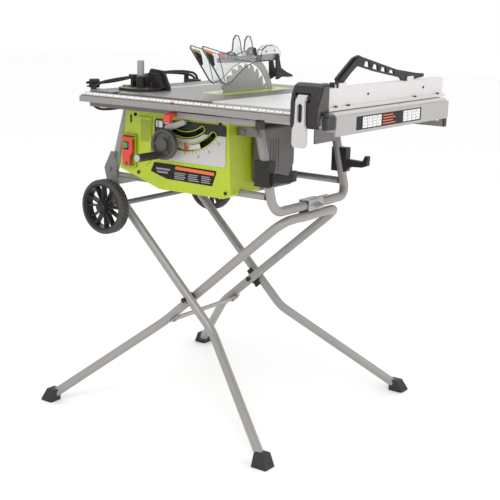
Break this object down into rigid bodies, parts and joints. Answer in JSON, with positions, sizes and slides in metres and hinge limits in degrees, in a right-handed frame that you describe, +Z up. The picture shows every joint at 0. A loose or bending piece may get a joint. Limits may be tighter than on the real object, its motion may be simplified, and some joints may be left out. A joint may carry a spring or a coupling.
{
  "type": "table saw",
  "caption": "Jobsite table saw with sliding extension table, rip fence, miter gauge, tilting and lifting blade with guard, on a folding wheeled stand.",
  "frame": {"origin": "on the floor, under the middle of the whole machine", "axes": "+X operator's right, +Y rear, +Z up"},
  "size_m": [0.924, 0.788, 1.0838],
  "materials": {
    "table_grey": "machined and coated aluminium",
    "extension_grey": "brushed aluminium",
    "rail_grey": "anodised aluminium",
    "ruler_white": "printed strip",
    "lime": "moulded, semi-gloss",
    "dark_grey": "moulded, fine texture",
    "mid_grey": "moulded, fine texture",
    "black": "moulded, fine texture",
    "silver_panel": "satin silver",
    "red": "moulded, glossy",
    "green": "moulded, glossy",
    "leg_silver": "silver-grey powder coat",
    "steel": "bright steel",
    "blade_steel": "ground steel",
    "cast": "die cast",
    "tyre": "black, treaded",
    "rubber": "black",
    "clear": "clear polycarbonate",
    "beam": "satin, near white",
    "lever_grey": "moulded, light grey",
    "cord_black": "black, soft"
  },
  "bodies": {
    "base": {"main_table": "table_grey", "throat_plate": "lime", "front_housing": "lime", "rear_housing": "dark_grey", "side_cover": "mid_grey", "control_panel": "silver_panel", "switch_bezel": "lime", "trunnions": "cast", "u_tubes": "leg_silver", "frame_brackets": "steel", "storage_hooks": "black", "lower_guide_rail": "rail_grey", "power_cord": "cord_black", "cord_plug": "cord_black", "cord_hooks_and_gland": "black"},
    "outer_leg_frame": {"outer_legs": "leg_silver", "outer_feet": "rubber", "pivot_bolts": "black"},
    "inner_leg_frame": {"inner_legs": "leg_silver", "inner_feet": "rubber", "leg_brace": "leg_silver"},
    "front_wheel": {"front_wheel_hub": "black", "front_wheel_tyre": "tyre"},
    "rear_wheel": {"rear_wheel_hub": "black", "rear_wheel_tyre": "tyre"},
    "latch": {"latch_pedal": "steel"},
    "extension": {"extension_table": "extension_grey", "slide_tubes": "steel", "side_skirt": "silver_panel", "front_rail": "rail_grey", "ruler_strip": "ruler_white", "rear_rail": "rail_grey"},
    "rail_lock": {"rail_lock_lever": "red"},
    "fence": {"fence_beam": "beam", "fence_head": "black"},
    "fence_clamp": {"fence_lever": "lever_grey"},
    "stored_push_stick": {"push_stick": "black"},
    "miter_slide": {"miter_bar": "steel"},
    "miter_gauge": {"miter_head": "black"},
    "miter_clamp": {"miter_knob": "mid_grey"},
    "carriage": {"bevel_carriage": "cast", "bevel_pointer": "red"},
    "bevel_lock": {"bevel_lock_lever": "steel"},
    "height_wheel": {"handwheel": "dark_grey"},
    "grip": {"crank_grip": "black"},
    "screw": {"lift_screw": "steel"},
    "lift": {"gear_case": "cast", "blade_shroud": "black", "riving_knife": "steel", "guard_arm": "dark_grey", "guard_knob": "red", "motor_housing": "dark_grey"},
    "blade": {"saw_blade": "blade_steel", "arbor": "steel"},
    "rotor": {"armature": "steel"},
    "barrier_left": {"left_barrier": "clear"},
    "barrier_right": {"right_barrier": "clear"},
    "pawls": {"anti_kickback_pawls": "black"},
    "paddle": {"switch_paddle": "red"},
    "button": {"start_button": "green"}
  },
  "joints": [
    {"name": "outer_leg_fold", "type": "hinge", "parent": "base", "child": "outer_leg_frame", "pos_m": [-0.33, 0, 0.587], "axis": [0, -1, 0], "range_deg": [0, 38]},
    {"name": "inner_leg_fold", "type": "hinge", "parent": "outer_leg_frame", "child": "inner_leg_frame", "pos_m": [-0.086, 0, 0.335], "axis": [0, -1, 0], "range_deg": [-73, 0]},
    {"name": "front_wheel_spin", "type": "hinge", "parent": "base", "child": "front_wheel", "pos_m": [-0.33, -0.254, 0.587], "axis": [0, 1, 0], "continuous": true},
    {"name": "rear_wheel_spin", "type": "hinge", "parent": "base", "child": "rear_wheel", "pos_m": [-0.33, 0.254, 0.587], "axis": [0, 1, 0], "continuous": true},
    {"name": "latch_pedal_press", "type": "hinge", "parent": "base", "child": "latch", "pos_m": [0.214, 0, 0.63], "axis": [0, 1, 0], "range_deg": [0, 15], "stiffness_Nm_per_rad": 6, "springref_deg": -5.73},
    {"name": "extension_slide", "type": "slide", "parent": "base", "child": "extension", "axis": [1, 0, 0], "range_m": [0, 0.3]},
    {"name": "rail_lock_turn", "type": "hinge", "parent": "base", "child": "rail_lock", "pos_m": [-0.024, -0.318, 0.885], "axis": [1, 0, 0], "range_deg": [0, 50]},
    {"name": "fence_slide", "type": "slide", "parent": "extension", "child": "fence", "axis": [1, 0, 0], "range_m": [-0.33, 0]},
    {"name": "fence_lever_lift", "type": "hinge", "parent": "fence", "child": "fence_clamp", "pos_m": [0.394, -0.346, 0.961], "axis": [-1, 0, 0], "range_deg": [0, 70]},
    {"name": "push_stick_lift", "type": "slide", "parent": "fence", "child": "stored_push_stick", "axis": [0, 0, 1], "range_m": [0, 0.1]},
    {"name": "miter_slide_along", "type": "slide", "parent": "base", "child": "miter_slide", "axis": [0, 1, 0], "range_m": [-0.02, 0.25]},
    {"name": "miter_swivel", "type": "hinge", "parent": "miter_slide", "child": "miter_gauge", "pos_m": [-0.2525, -0.19, 0.93], "axis": [0, 0, 1], "range_deg": [-60, 60]},
    {"name": "miter_knob_turn", "type": "hinge", "parent": "miter_gauge", "child": "miter_clamp", "pos_m": [-0.2525, -0.19, 0.98], "axis": [0, 0, 1], "range_deg": [0, 330]},
    {"name": "bevel_tilt", "type": "hinge", "parent": "base", "child": "carriage", "pos_m": [-0.048, 0, 0.922], "axis": [0, -1, 0], "range_deg": [0, 45]},
    {"name": "bevel_lock_turn", "type": "hinge", "parent": "carriage", "child": "bevel_lock", "pos_m": [-0.1, -0.25, 0.836], "axis": [0, -1, 0], "range_deg": [0, 40]},
    {"name": "blade_height", "type": "slide", "parent": "carriage", "child": "lift", "axis": [0, 0, 1], "range_m": [-0.08, 0]},
    {"name": "handwheel_turn", "type": "hinge", "parent": "carriage", "child": "height_wheel", "pos_m": [-0.093, -0.275, 0.794], "axis": [0, -1, 0], "range_deg": [-725, 5]},
    {"name": "crank_grip_spin", "type": "hinge", "parent": "height_wheel", "child": "grip", "pos_m": [-0.107, -0.33, 0.764], "axis": [0, 1, 0], "continuous": true},
    {"name": "lift_screw_turn", "type": "hinge", "parent": "carriage", "child": "screw", "pos_m": [-0.093, -0.13, 0.85], "axis": [0, 0, 1], "range_deg": [-725, 5]},
    {"name": "blade_spin", "type": "hinge", "parent": "lift", "child": "blade", "pos_m": [-0.048, 0.028, 0.877], "axis": [1, 0, 0], "continuous": true},
    {"name": "motor_spin", "type": "hinge", "parent": "lift", "child": "rotor", "pos_m": [-0.2, 0.028, 0.84262], "axis": [1, 0, 0], "continuous": true},
    {"name": "left_barrier_lift", "type": "hinge", "parent": "lift", "child": "barrier_left", "pos_m": [-0.0685, 0.06, 1.016], "axis": [-1, 0, 0], "range_deg": [0, 31]},
    {"name": "right_barrier_lift", "type": "hinge", "parent": "lift", "child": "barrier_right", "pos_m": [-0.0275, 0.06, 1.016], "axis": [-1, 0, 0], "range_deg": [0, 31]},
    {"name": "pawl_lift", "type": "hinge", "parent": "lift", "child": "pawls", "pos_m": [-0.048, 0.178, 1.018], "axis": [1, 0, 0], "range_deg": [0, 91]},
    {"name": "stop_paddle_lift", "type": "hinge", "parent": "base", "child": "paddle", "pos_m": [-0.246, -0.2495, 0.7955], "axis": [-1, 0, 0], "range_deg": [0, 25]},
    {"name": "start_button_press", "type": "slide", "parent": "base", "child": "button", "axis": [0, 1, 0], "range_m": [0, 0.003], "stiffness_N_per_m": 300, "springref_m": -0.001}
  ],
  "couplings": [
    {"joint": "inner_leg_fold", "follows": "outer_leg_fold", "ratio": -1.9},
    {"joint": "motor_spin", "follows": "blade_spin", "ratio": -4},
    {"joint": "handwheel_turn", "follows": "blade_height", "rad_per_m": 157.08},
    {"joint": "lift_screw_turn", "follows": "blade_height", "rad_per_m": 157.08},
    {"joint": "left_barrier_lift", "follows": "blade_height", "rad_per_m": -6.5},
    {"joint": "right_barrier_lift", "follows": "blade_height", "rad_per_m": -6.5},
    {"joint": "pawl_lift", "follows": "blade_height", "rad_per_m": -19.6}
  ]
}
